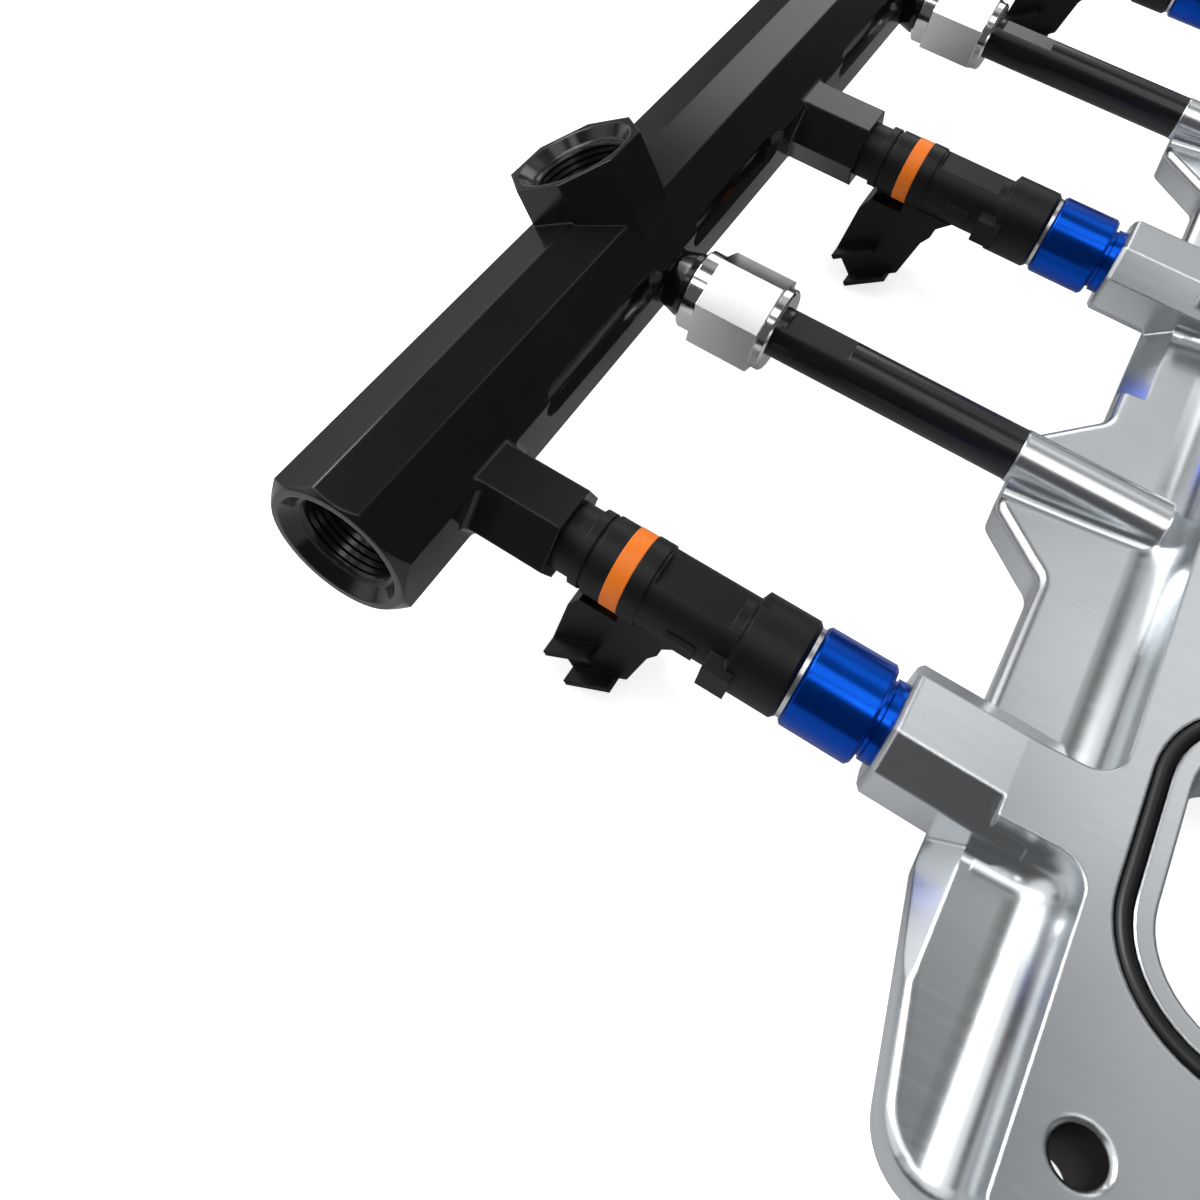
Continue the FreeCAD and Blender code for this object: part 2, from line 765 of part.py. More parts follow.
gallery_half = [
    ("[port_rim_r]", "0"),
    ("[port_seat_r]", "[port_seat_depth]"),
    ("[port_tap_r]", "[port_seat_depth]"),
    ("[port_tap_r]", "[port_tap_depth]"),
    ("[gallery_r]", "[port_drill_depth]"),
]
gallery = [(f"-{RAIL_HALF}", "0")]
for radius, depth in gallery_half:
    gallery.append((f"-{RAIL_HALF} + {depth}", radius))
for radius, depth in reversed(gallery_half):
    gallery.append((f"{RAIL_HALF} - {depth}", radius))
gallery.append((RAIL_HALF, "0"))
gallery_cut = turned(
    rail, "gallery_cut", gallery, cut=True, role="XY_Plane", axis="H_Axis"
)
for name, side in (("near_chamfer", "-"), ("far_chamfer", "")):
    turned(
        rail, name,
        [
            (f"{side}{RAIL_HALF}", "[end_ring_r]"),
            (f"{side}{RAIL_HALF}", "[end_ring_r] + 6"),
            (f"{side}({RAIL_HALF} - 6)", "[end_ring_r] + 6"),
        ],
        cut=True, role="XY_Plane", axis="H_Axis",
    )

feed = turned(
    rail, "injector_feed",
    [
        ("0", "0"),
        ("[rail_feed_r]", "0"),
        ("[rail_feed_r]", "[rail_bore_floor]"),
        ("[rail_bore_r]", "[rail_bore_floor]"),
        ("[rail_bore_r]", "[rail_boss_face]"),
        ("0", "[rail_boss_face]"),
    ],
    shift=(FIRST, "0", "0"), cut=True,
)
feeds = row_of(rail, "injector_feeds", [feed], "[injector_count]", "[pitch]")

top_port_bore = turned(
    rail, "top_port_bore",
    [
        ("0", "0"),
        ("[top_port_drill_r]", "0"),
        ("[top_port_drill_r]", "[top_port_face] - [port_tap_depth]"),
        ("[port_tap_r]", "[top_port_face] - [port_tap_depth] + 3"),
        ("[port_tap_r]", "[top_port_face] - [port_seat_depth]"),
        ("[port_seat_r]", "[top_port_face] - [port_seat_depth]"),
        ("[port_rim_r]", "[top_port_face]"),
        ("0", "[top_port_face]"),
    ],
    shift=(FIRST_STANDOFF, "0", "0"), turn="-[top_port_deg]", cut=True,
)

# Scallops milled along the rail's upper front edge
edge_w = f"({SHOULDER} + [scallop_out] * {SIN_FACET} / 2)"
edge_v = "([rail_flat] + [scallop_out])"
scallop_row = []
for number, (begin, finish) in enumerate(
    (
        ("[scallop_from]", "[scallop_to]"),
        ("([pitch] - [scallop_to])", "([pitch] - [scallop_from])"),
    ),
    start=1,
):
    corners = [(f"{begin} - [scallop_r]", "0")]
    for turn_deg in (150, 120, 90):
        x = f"{begin} + [scallop_r] * cos({turn_deg}deg)"
        corners.append((x, f"[scallop_r] * sin({turn_deg}deg)"))
    for turn_deg in (90, 60, 30):
        x = f"{finish} + [scallop_r] * cos({turn_deg}deg)"
        corners.append((x, f"[scallop_r] * sin({turn_deg}deg)"))
    corners.append((f"{finish} + [scallop_r]", "0"))
    scallop_row.append(
        turned(
            rail, f"scallop_{number}", corners,
            shift=(FIRST, edge_w, edge_v), cut=True, role="XY_Plane", axis="H_Axis",
        )
    )
scallops = row_of(rail, "scallops", scallop_row, "[injector_count] - 1", "[pitch]")
rail.Tip = scallops
on_injector_frame(rail, "0")


# Injectors, each with its seals, adapter, band and terminals
def socket_point(along, across):
    """Point in the injector's plane, from the socket mouth's centre, as w and v expressions."""
    cosine = "cos([socket_deg] * 1deg)"
    sine = "sin([socket_deg] * 1deg)"
    w = f"-[socket_mouth_w] + ({along}) * {sine} - ({across}) * {cosine}"
    v = f"[socket_mouth_v] + ({along}) * {cosine} + ({across}) * {sine}"
    return (w, v)


def socket_box(along_from, along_to, across_from, across_to):
    return [
        socket_point(along_from, across_from),
        socket_point(along_to, across_from),
        socket_point(along_to, across_to),
        socket_point(along_from, across_to),
    ]


def injector_body(index):
    body = new_body(f"injector_body_{index + 1}")
    bore_r = "[core_r] + [fit_clearance]"
    turned(
        body, f"barrel_{index + 1}",
        [
            (bore_r, "[rail_boss_face] - [spigot_in_rail]"),
            ("[rail_bore_r] - 0.2", "[rail_boss_face] - [spigot_in_rail]"),
            ("[rail_bore_r] - 0.2", "[rail_boss_face]"),
            ("[neck_r]", "[rail_boss_face]"),
            ("[neck_r]", "[lip_from]"),
            ("[lip_r]", "[lip_from]"),
            ("[lip_r]", "[lip_to]"),
            ("[notch_r]", "[lip_to]"),
            ("[notch_r]", "[notch_to]"),
            ("[barrel_r]", "[notch_to]"),
            ("[barrel_r]", "[band_from]"),
            ("[band_seat_r]", "[band_from]"),
            ("[band_seat_r]", "[band_to]"),
            ("[collar_r]", "[band_to]"),
            ("[collar_r]", "[collar_to]"),
            ("[body_r]", "[collar_to]"),
            ("[body_r]", "[foot_from]"),
            ("[foot_r]", "[foot_from] + 0.8"),
            ("[foot_r]", "[foot_to] - [foot_bevel]"),
            ("[foot_r] - [foot_bevel]", "[foot_to]"),
            (bore_r, "[foot_to]"),
        ],
    )
    label_sketch = polygon(
        body, f"label_outline_{index + 1}", "YZ_Plane",
        [
            ("[label_flat]", "[label_from]"),
            ("[label_flat] + 4", "[label_from]"),
            ("[label_flat] + 4", "[label_to]"),
            ("[label_flat]", "[label_to]"),
        ],
    )
    pocket(body, f"label_flat_{index + 1}", label_sketch, "2 * [body_r]", both_ways=True)
    rib_sketch = polygon(
        body, f"rib_outline_{index + 1}", "XZ_Plane",
        [
            ("-[rib_out]", "[rib_from]"),
            ("-[body_r] + 1", "[rib_from]"),
            ("-[body_r] + 1", "[rib_to]"),
            ("-[rib_out]", "[rib_to]"),
        ],
    )
    pad(body, f"rib_{index + 1}", rib_sketch, "2 * [rib_half]", both_ways=True)
    tab_sketch = polygon(
        body, f"tab_outline_{index + 1}", "XZ_Plane",
        [
            ("-[tab_out]", "[tab_from]"),
            ("-[body_r] + 1", "[tab_from]"),
            ("-[body_r] + 1", "[tab_to]"),
            ("-[tab_out]", "[tab_to]"),
        ],
    )
    pad(body, f"tab_{index + 1}", tab_sketch, "2 * [tab_half]", both_ways=True)
    notch_sketch = polygon(
        body, f"notch_outline_{index + 1}", "YZ_Plane",
        [
            ("[notch_floor]", "[notch_start]"),
            ("[foot_r] + 2", "[notch_start]"),
            ("[foot_r] + 2", "[notch_end]"),
            ("[notch_floor]", "[notch_end]"),
        ],
        shift=("0", "0", "([notch_near] + [notch_far]) / 2"),
    )
    pocket(
        body, f"notch_{index + 1}", notch_sketch, "[notch_far] - [notch_near]", both_ways=True
    )
    arm_sketch = polygon(
        body, f"arm_outline_{index + 1}", "YZ_Plane",
        [
            ("-[core_r] - 1", "[band_to]"),
            ("-[core_r] - 1", "[arm_v_high] + 3"),
            ("-[body_r] - 1", "[arm_v_high]"),
            ("-[arm_w_low] + 1", "[arm_v_high] - 0.4"),
            ("-[arm_w_low] - 2", "[arm_v_high] - 2"),
            socket_point("[socket_depth] + 5", "[socket_height] / 2"),
            socket_point("0", "[socket_height] / 2"),
            socket_point("0", "-[socket_height] / 2"),
            ("-[arm_w_low]", "[arm_v_low]"),
            ("-[barrel_r] - 1", "[arm_v_low] + 2"),
            ("-[barrel_r] - 1", "[band_to]"),
        ],
    )
    pad(body, f"arm_{index + 1}", arm_sketch, "2 * [socket_half]", both_ways=True)
    for number, low in enumerate(("-[socket_height] / 2", "[socket_height] / 2 - [wing_thick]")):
        wing_sketch = polygon(
            body, f"wing_outline_{number + 1}_{index + 1}", "YZ_Plane",
            socket_box("0", "[wing_length]", low, f"{low} + [wing_thick]"),
        )
        pad(body, f"wing_{number + 1}_{index + 1}", wing_sketch, "2 * [wing_half]", both_ways=True)
    cavity_half = "([socket_height] / 2 - [socket_wall])"
    cavity_sketch = polygon(
        body, f"cavity_outline_{index + 1}", "YZ_Plane",
        socket_box("-1", "[socket_depth]", f"-{cavity_half}", cavity_half),
    )
    pocket(
        body, f"cavity_{index + 1}", cavity_sketch,
        "2 * ([socket_half] - [socket_wall])", both_ways=True,
    )
    on_injector_frame(body, station(index))
    return body


def injector_core(index):
    body = new_body(f"injector_core_{index + 1}")
    collar_r = "[rail_bore_r] - 0.2"
    turned(
        body, f"core_{index + 1}",
        [
            ("[core_bore_r]", "[core_start]"),
            ("[core_r]", "[core_start]"),
            ("[core_r]", "[core_collar_from]"),
            (collar_r, "[core_collar_from]"),
            (collar_r, "[core_collar_to]"),
            ("[core_r]", "[core_collar_to]"),
            ("[core_r]", "[foot_to]"),
            ("[core_flange_r]", "[foot_to]"),
            ("[core_flange_r]", "[core_flange_to]"),
            ("[outlet_r]", "[core_flange_to]"),
            ("[outlet_r]", "[outlet_to]"),
            ("[nozzle_r]", "[outlet_to]"),
            ("[nozzle_r]", "[nozzle_to]"),
            ("[core_bore_r]", "[nozzle_to]"),
        ],
    )
    on_injector_frame(body, station(index))
    return body


def injector_band(index):
    body = new_body(f"injector_band_{index + 1}")
    turned(
        body, f"band_{index + 1}",
        [
            ("[band_seat_r] + [fit_clearance]", "[band_from]"),
            ("[band_r]", "[band_from]"),
            ("[band_r]", "[band_to]"),
            ("[band_seat_r] + [fit_clearance]", "[band_to]"),
        ],
    )
    on_injector_frame(body, station(index))
    return body


def adapter(index):
    body = new_body(f"adapter_{index + 1}")
    seal_half = "[adapter_seal_cord] / 2 + 0.2"
    seal_v = "[adapter_seat] - [adapter_seal_back]"
    groove_r = "([adapter_neck_r] + [fit_clearance] - [adapter_seal_cord])"
    turned(
        body, f"adapter_turned_{index + 1}",
        [
            ("[adapter_socket_r]", "[core_flange_to]"),
            ("[adapter_r] - [adapter_chamfer]", "[core_flange_to]"),
            ("[adapter_r]", "[core_flange_to] + [adapter_chamfer]"),
            ("[adapter_r]", "[adapter_end] - [adapter_chamfer]"),
            ("[adapter_r] - [adapter_chamfer]", "[adapter_end]"),
            ("[adapter_neck_r] - 0.6", "[adapter_end]"),
            ("[adapter_neck_r] - 0.6", "[adapter_end] + [adapter_groove]"),
            ("[adapter_neck_r]", "[adapter_end] + [adapter_groove]"),
            ("[adapter_neck_r]", f"{seal_v} - ({seal_half})"),
            (groove_r, f"{seal_v} - ({seal_half})"),
            (groove_r, f"{seal_v} + ({seal_half})"),
            ("[adapter_neck_r]", f"{seal_v} + ({seal_half})"),
            ("[adapter_neck_r]", "[adapter_seat]"),
            ("[passage_r]", "[adapter_seat]"),
            ("[passage_r]", "[adapter_socket_floor]"),
            ("[adapter_socket_r]", "[adapter_socket_floor]"),
        ],
    )
    on_injector_frame(body, station(index))
    return body


def seal_ring(label, inner, outer, distance, index):
    """A round-section ring that fills the gap between two radii."""
    ring = doc.addObject("Part::Torus", label)
    ring.Label = label
    bind(ring, "Radius1", f"(({inner}) + ({outer})) / 2")
    bind(ring, "Radius2", f"(({outer}) - ({inner})) / 2 - [seal_clearance]")
    on_injector_frame(ring, station(index))
    bind(ring, "Placement.Base.y", f"[rail_y] - ({distance}) * cos([tilt_deg] * 1deg)")
    bind(ring, "Placement.Base.z", f"[rail_z] - ({distance}) * sin([tilt_deg] * 1deg)")
    return ring


def terminal(index, letter, side):
    body = new_body(f"terminal_{letter}_{index + 1}")
    blade_sketch = polygon(
        body, f"blade_outline_{letter}_{index + 1}", "YZ_Plane",
        socket_box(
            "[socket_depth] - [blade_long]", "[socket_depth]",
            "-[blade_wide] / 2", "[blade_wide] / 2",
        ),
        shift=("0", "0", f"({side}) * [blade_gap] / 2"),
    )
    pad(body, f"blade_{letter}_{index + 1}", blade_sketch, "[blade_thick]", both_ways=True)
    on_injector_frame(body, station(index))
    return body


pieces = [plate, rail]
for index in range(COUNT):
    pieces.append(injector_body(index))
    pieces.append(injector_core(index))
    pieces.append(injector_band(index))
    pieces.append(adapter(index))
    neck_bore = "[adapter_neck_r] + [fit_clearance]"
    pieces.append(
        seal_ring(
            f"inlet_seal_{index + 1}", "[core_r]", "[rail_bore_r]",
            "[rail_boss_face] - [inlet_seal_back]", index,
        )
    )
    pieces.append(
        seal_ring(
            f"outlet_seal_{index + 1}", "[outlet_r]", "[adapter_socket_r]",
            "[outlet_to] - [outlet_seal_back]", index,
        )
    )
    pieces.append(
        seal_ring(
            f"adapter_seal_{index + 1}", f"{neck_bore} - [adapter_seal_cord]", neck_bore,
            "[adapter_seat] - [adapter_seal_back]", index,
        )
    )
    pieces.append(terminal(index, "a", -1))
    pieces.append(terminal(index, "b", 1))


# Standoffs between the rail and the plate
def standoff_tube(index):
    body = new_body(f"standoff_tube_{index + 1}")
    turned(
        body, f"tube_{index + 1}",
        [
            ("[tube_bore_r]", "[tube_start]"),
            ("[tube_r]", "[tube_start]"),
            ("[tube_r]", "[tube_seat]"),
            ("[spigot_r]", "[tube_seat]"),
            ("[spigot_r]", "[tube_seat] + [spigot_length]"),
            ("[tube_bore_r]", "[tube_seat] + [spigot_length]"),
        ],
    )
    for number, side in enumerate((1, -1)):
        flat_sketch = polygon(
            body, f"flat_outline_{number + 1}_{index + 1}", "YZ_Plane",
            [
                (f"({side}) * [tube_flat]", "[tube_flat_from]"),
                (f"({side}) * ([tube_r] + 2)", "[tube_flat_from]"),
                (f"({side}) * ([tube_r] + 2)", "[tube_flat_to]"),
                (f"({side}) * [tube_flat]", "[tube_flat_to]"),
            ],
        )
        pocket(
            body, f"flat_{number + 1}_{index + 1}", flat_sketch, "4 * [tube_r]", both_ways=True
        )
    on_injector_frame(body, standoff_station(index))
    return body


def coupling_nut(index):
    body = new_body(f"coupling_nut_{index + 1}")
    turned(
        body, f"collars_{index + 1}",
        [
            ("[nut_bore_r]", "[stub_face]"),
            ("[nut_collar_r] - 0.5", "[stub_face]"),
            ("[nut_collar_r]", "[stub_face] + 0.5"),
            ("[nut_collar_r]", "[nut_hex_from]"),
            ("[nut_collar_r]", "[nut_hex_to]"),
            ("[nut_back_r]", "[nut_hex_to]"),
            ("[nut_back_r]", "[nut_end] - 0.5"),
            ("[nut_back_r] - 0.5", "[nut_end]"),
            ("[nut_bore_r]", "[nut_end]"),
        ],
    )
    hex_point = "[nut_hex_flat] / cos(30deg)"
    corners = []
    for turn_deg in range(30, 390, 60):
        corners.append((f"{hex_point} * cos({turn_deg}deg)", f"{hex_point} * sin({turn_deg}deg)"))
    hex_sketch = polygon(
        body, f"nut_hexagon_{index + 1}", "XY_Plane", corners, shift=("0", "0", "[nut_hex_from]")
    )
    pad(body, f"nut_hex_{index + 1}", hex_sketch, "[nut_hex_to] - [nut_hex_from]")
    bore_sketch = circles(
        body, f"nut_bore_circle_{index + 1}", "XY_Plane", [("0", "0", "[nut_bore_r]")]
    )
    pocket(body, f"nut_bore_{index + 1}", bore_sketch, "2 * [nut_end]", along=True)
    on_injector_frame(body, standoff_station(index))
    return body


for index in range(COUNT - 1):
    pieces.append(standoff_tube(index))
    pieces.append(coupling_nut(index))


# Seals in the plate's port grooves
def port_seal(index):
    body = new_body(f"port_seal_{index + 1}")
    middle = "([groove_margin] + [groove_wide] / 2)"
    spine = new_sketch(body, f"seal_path_{index + 1}", "XY_Plane", HERE, "0")
    add_rounded(
        spine, "0",
        f"[port_half_x] + {middle}", f"[port_half_y] + {middle}", f"[port_corner] + {middle}",
    )
    section = circles(
        body, f"seal_section_{index + 1}", "YZ_Plane",
        [(f"-([port_half_y] + {middle})", "0", "[cord_r]")],
    )
    sweep = body.newObject("PartDesign::AdditivePipe", f"seal_sweep_{index + 1}")
    sweep.Profile = section
    sweep.Spine = (spine, [])
    body.Placement = FreeCAD.Placement()
    bind(body, "Placement.Base.x", station(index))
    bind(body, "Placement.Base.z", "[plate_thick] - [groove_deep] + [cord_r]")
    return body


for index in range(COUNT):
    pieces.append(port_seal(index))

doc.recompute()

# Check every object, then write each piece
for item in doc.Objects:
    if "Invalid" in item.State or "Error" in item.State:
        raise RuntimeError(f"{item.Name} failed: {item.State}")
for piece in pieces:
    shape = piece.Shape
    if shape.isNull() or not shape.isValid() or len(shape.Solids) != 1:
        raise RuntimeError(f"{piece.Label} is not one valid solid: {len(shape.Solids)}")
for piece in pieces:
    piece.Shape.exportStep(f"parts/{piece.Label}.step")
    print(piece.Label, round(piece.Shape.Volume, 1))
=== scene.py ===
import math

import bpy
from mathutils import Matrix, Vector


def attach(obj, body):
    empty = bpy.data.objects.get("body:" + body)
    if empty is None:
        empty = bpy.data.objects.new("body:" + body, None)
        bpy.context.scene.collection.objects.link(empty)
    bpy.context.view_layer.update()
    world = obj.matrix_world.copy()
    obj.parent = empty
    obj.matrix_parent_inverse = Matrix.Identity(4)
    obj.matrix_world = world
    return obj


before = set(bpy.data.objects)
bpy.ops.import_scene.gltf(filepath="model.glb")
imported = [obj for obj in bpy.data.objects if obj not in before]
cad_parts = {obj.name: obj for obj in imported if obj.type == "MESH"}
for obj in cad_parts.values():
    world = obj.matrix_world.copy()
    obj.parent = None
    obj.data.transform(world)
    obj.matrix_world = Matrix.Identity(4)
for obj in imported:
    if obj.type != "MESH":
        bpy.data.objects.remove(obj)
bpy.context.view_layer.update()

MM = 0.001

# Places that the model's source also uses, in millimetres
PITCH = 141.5
TILT = math.radians(8)
RAIL_Y, RAIL_Z = 163.15, 26.16
RAIL_HALF = 169.3
DOWN = Vector((0, -math.cos(TILT), -math.sin(TILT)))
UP = Vector((0, -math.sin(TILT), math.cos(TILT)))
ALONG = Vector((1, 0, 0))
STATIONS = (-PITCH, 0.0, PITCH)
STANDOFFS = (-PITCH / 2, PITCH / 2)
SLAB, RIDGE_R, BOSS_HALF = 9.0, 6.0, 11.6
RIDGE_FOOT_START, RIDGE_FOOT_STEP = 66.2, 1.22
BOSS_FOOT_NEAR, BOSS_FOOT_FAR, BOSS_FOOT_END = 47.8, 51.5, 38.5
TOP_PORT_FACE, TOP_PORT_TURN = 23.9, math.radians(126)
PORT_TAP_R = 10.4
BOLT_ROW, BOLT_END = 21.85, 190.2


# Node material helpers
def new_material(name):
    material = bpy.data.materials.new(name)
    material.use_nodes = True
    material.node_tree.nodes.clear()
    return material, material.node_tree


def add_node(tree, kind, **inputs):
    node = tree.nodes.new(kind)
    for key, setting in inputs.items():
        if key in node.inputs.keys():
            node.inputs[key].default_value = setting
        else:
            setattr(node, key, setting)
    return node


def object_coordinates(tree, scale=(1, 1, 1), rotation=(0, 0, 0)):
    coordinates = tree.nodes.new("ShaderNodeTexCoord")
    mapping = tree.nodes.new("ShaderNodeMapping")
    mapping.inputs["Scale"].default_value = scale
    mapping.inputs["Rotation"].default_value = rotation
    tree.links.new(coordinates.outputs["Object"], mapping.inputs["Vector"])
    return mapping.outputs["Vector"]


def noise(tree, vector, scale, detail=4.0, roughness=0.55):
    node = tree.nodes.new("ShaderNodeTexNoise")
    node.inputs["Scale"].default_value = scale
    node.inputs["Detail"].default_value = detail
    node.inputs["Roughness"].default_value = roughness
    tree.links.new(vector, node.inputs["Vector"])
    return node.outputs["Fac"]


def ramp(tree, factor, stops):
    node = tree.nodes.new("ShaderNodeValToRGB")
    elements = node.color_ramp.elements
    elements[0].position, elements[0].color = stops[0][0], (*stops[0][1], 1)
    elements[1].position, elements[1].color = stops[-1][0], (*stops[-1][1], 1)
    for position, colour in stops[1:-1]:
        element = elements.new(position)
        element.color = (*colour, 1)
    tree.links.new(factor, node.inputs["Fac"])
    return node.outputs["Color"]


def remap(tree, factor, low, high, start=0.0, end=1.0, smooth=False):
    """A factor between start and end becomes one between low and high."""
    node = tree.nodes.new("ShaderNodeMapRange")
    if smooth:
        node.interpolation_type = "SMOOTHSTEP"
    for key, setting in (("From Min", start), ("From Max", end), ("To Min", low), ("To Max", high)):
        node.inputs[key].default_value = setting
    tree.links.new(factor, node.inputs["Value"])
    return node.outputs["Result"]


def mixed(tree, factor, first, second):
    node = tree.nodes.new("ShaderNodeMixShader")
    for index, source in enumerate((factor, first, second)):
        tree.links.new(source, node.inputs[index])
    return node.outputs[0]


def ray_kinds(tree):
    """The light path node, and a factor of one where the camera sees a surface itself."""
    path = tree.nodes.new("ShaderNodeLightPath")
    direct = add_node(tree, "ShaderNodeMath", operation="MAXIMUM")
    tree.links.new(path.outputs["Is Camera Ray"], direct.inputs[0])
    tree.links.new(path.outputs["Is Transmission Ray"], direct.inputs[1])
    return path, direct.outputs[0]


def bumped(tree, height, strength, distance, edge=None):
    """A bump over the surface, and over a rounded look at its edges where edge gives a radius."""
    node = tree.nodes.new("ShaderNodeBump")
    node.inputs["Strength"].default_value = strength
    node.inputs["Distance"].default_value = distance
    tree.links.new(height, node.inputs["Height"])
    if edge:
        rounded = tree.nodes.new("ShaderNodeBevel")
        rounded.samples = 6
        rounded.inputs["Radius"].default_value = edge
        tree.links.new(rounded.outputs["Normal"], node.inputs["Normal"])
    return node.outputs["Normal"]


def principled(tree, **settings):
    shader = tree.nodes.new("ShaderNodeBsdfPrincipled")
    for key, setting in settings.items():
        shader.inputs[key.replace("_", " ")].default_value = setting
    output = tree.nodes.new("ShaderNodeOutputMaterial")
    tree.links.new(shader.outputs["BSDF"], output.inputs["Surface"])
    return shader


def anodised(
    name, colour, light, rough, metallic=0.0, grain=0.04, edge=0.0003, lines=(30, 1400, 1400)
):
    """Anodised metal: a tinted satin skin, faint cloudiness and fine tool lines."""
    material, tree = new_material(name)
    shader = principled(tree, Metallic=metallic)
    plain = object_coordinates(tree)
    along = object_coordinates(tree, scale=lines)
    broad = noise(tree, plain, 55, 3)
    marks = noise(tree, along, 1, 2)
    tree.links.new(ramp(tree, broad, [(0.3, colour), (0.75, light)]), shader.inputs["Base Color"])
    tree.links.new(remap(tree, marks, rough - 0.01, rough + 0.03), shader.inputs["Roughness"])
    tree.links.new(bumped(tree, marks, grain, 0.00002, edge), shader.inputs["Normal"])
    return material


def machined(name, colour, light, rough, line_scale, grain=0.08, edge=None):
    """Bare machined metal: cutter lines, faint mottling and a soft sheen."""
    material, tree = new_material(name)
    shader = principled(tree, Metallic=1.0)
    plain = object_coordinates(tree)
    lines = noise(tree, object_coordinates(tree, scale=line_scale), 1, 3)
    cloud = noise(tree, plain, 28, 2)
    colours = ramp(tree, cloud, [(0.35, colour), (0.65, light)])
    tree.links.new(colours, shader.inputs["Base Color"])
    tree.links.new(remap(tree, lines, rough - 0.03, rough + 0.05), shader.inputs["Roughness"])
    tree.links.new(bumped(tree, lines, grain, 0.00002, edge), shader.inputs["Normal"])
    return material


def moulded(name, colour, light, rough, grain=0.25, gloss=0.5):
    """Moulded plastic or rubber: a fine pebbled skin with uneven gloss."""
    material, tree = new_material(name)
    shader = principled(tree, Metallic=0.0, Specular_IOR_Level=gloss)
    plain = object_coordinates(tree)
    pebbles = noise(tree, plain, 1500, 3)
    cloud = noise(tree, plain, 90, 3)
    colours = ramp(tree, cloud, [(0.3, colour), (0.75, light)])
    tree.links.new(colours, shader.inputs["Base Color"])
    tree.links.new(remap(tree, cloud, rough - 0.05, rough + 0.06), shader.inputs["Roughness"])
    tree.links.new(bumped(tree, pebbles, grain, 0.00004, 0.0003), shader.inputs["Normal"])
    return material


RAIL = anodised(
    "rail_anodised", (0.0045, 0.005, 0.006), (0.007, 0.0078, 0.009), 0.16, edge=0.0006
)
THREAD = anodised(
    "thread_anodised", (0.005, 0.0055, 0.0065), (0.009, 0.0095, 0.011), 0.22, edge=None
)
TUBE = anodised(
    "tube_anodised", (0.004, 0.0042, 0.005), (0.006, 0.0064, 0.0075), 0.24,
    grain=0.02, lines=(20, 900, 20),
)
BLUE = anodised(
    "blue_anodised", (0.0, 0.060, 0.46), (0.0, 0.080, 0.56), 0.19, metallic=0.9,
    grain=0.03, lines=(20, 1400, 20),
)
PLATE = machined(
    "plate_aluminium", (0.64, 0.665, 0.68), (0.70, 0.72, 0.735), 0.22, (1100, 40, 40),
    grain=0.06, edge=0.0008,
)
NUT = machined(
    "nut_aluminium", (0.78, 0.78, 0.78), (0.85, 0.85, 0.85), 0.12, (60, 900, 60),
    grain=0.02, edge=0.0003,
)
STEEL = machined("turned_steel", (0.62, 0.61, 0.60), (0.70, 0.69, 0.68), 0.24, (60, 900, 900))
BRASS = machined("terminal_brass", (0.62, 0.52, 0.30), (0.70, 0.60, 0.38), 0.28, (400, 400, 400))
# Painted shade: the bore walls are coloured far darker than the plate's aluminium, standing in for
# the shade inside the holes
BORE_PAINTED_SHADE = machined(
    "bore_painted_shade", (0.085, 0.075, 0.069), (0.120, 0.108, 0.100), 0.46, (60, 60, 1800)
)
PLASTIC = moulded(
    "injector_plastic", (0.0045, 0.0045, 0.005), (0.007, 0.007, 0.0075), 0.42, gloss=0.27
)
ORANGE = moulded(
    "band_plastic", (0.94, 0.200, 0.012), (0.98, 0.235, 0.018), 0.42, grain=0.08, gloss=0.35
)
SEAL = moulded(
    "seal_rubber", (0.0045, 0.005, 0.006), (0.008, 0.009, 0.010), 0.38, grain=0.10
)


def dress(node, material):
    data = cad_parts[node].data
    data.materials.clear()
    data.materials.append(material)


LOOKS = {
    "injector_body": PLASTIC,
    "injector_core": STEEL,
    "injector_band": ORANGE,
    "adapter_seal": SEAL,
    "adapter": BLUE,
    "inlet_seal": SEAL,
    "outlet_seal": SEAL,
    "port_seal": SEAL,
    "terminal_a": BRASS,
    "terminal_b": BRASS,
    "standoff_tube": TUBE,
    "coupling_nut": NUT,
}
dress("plate", PLATE)
dress("rail", RAIL)
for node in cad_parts:
    for start, material in LOOKS.items():
        if node.rsplit("_", 1)[0] == start:
            dress(node, material)


# Detail too fine for the solids
def surface(name, rows, material, closed):
    """A smooth grid of points, each row a ring or a strip, riding on the part."""
    vertices = [point for row in rows for point in row]
    wide = len(rows[0])
    faces = []
    for row in range(len(rows) - 1):
        for column in range(wide if closed else wide - 1):
            after = (column + 1) % wide
            low, high = row * wide, (row + 1) * wide
            faces.append((low + column, low + after, high + after, high + column))
    mesh = bpy.data.meshes.new(name)
    mesh.from_pydata([tuple(Vector(v) * MM) for v in vertices], [], faces)
    mesh.materials.append(material)
    for polygon in mesh.polygons:
        polygon.use_smooth = True
    piece = bpy.data.objects.new(name, mesh)
    bpy.context.scene.collection.objects.link(piece)
    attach(piece, "root")
    return piece


def ring(centre, axis, side, radius, count=96):
    other = axis.cross(side)
    points = []
    for index in range(count):
        turn = 2 * math.pi * index / count
        points.append(centre + side * (radius * math.cos(turn)) + other * (radius * math.sin(turn)))
    return points


def thread(name, centre, axis, radius, start, depth, pitch=1.5, cut=0.75):
    """Ridges down a threaded bore; axis points out of the mouth."""
    side = ALONG if abs(axis.dot(ALONG)) < 0.5 else UP
    rows = []
    turns = int(depth / pitch)
    for index in range(turns):
        base = start + index * pitch
        for step, height in ((0.0, 0.05), (0.42, cut), (0.58, cut), (0.999, 0.05)):
            rows.append(ring(centre - axis * (base + step * pitch), axis, side, radius - height))
    return surface(name, rows, THREAD, True)


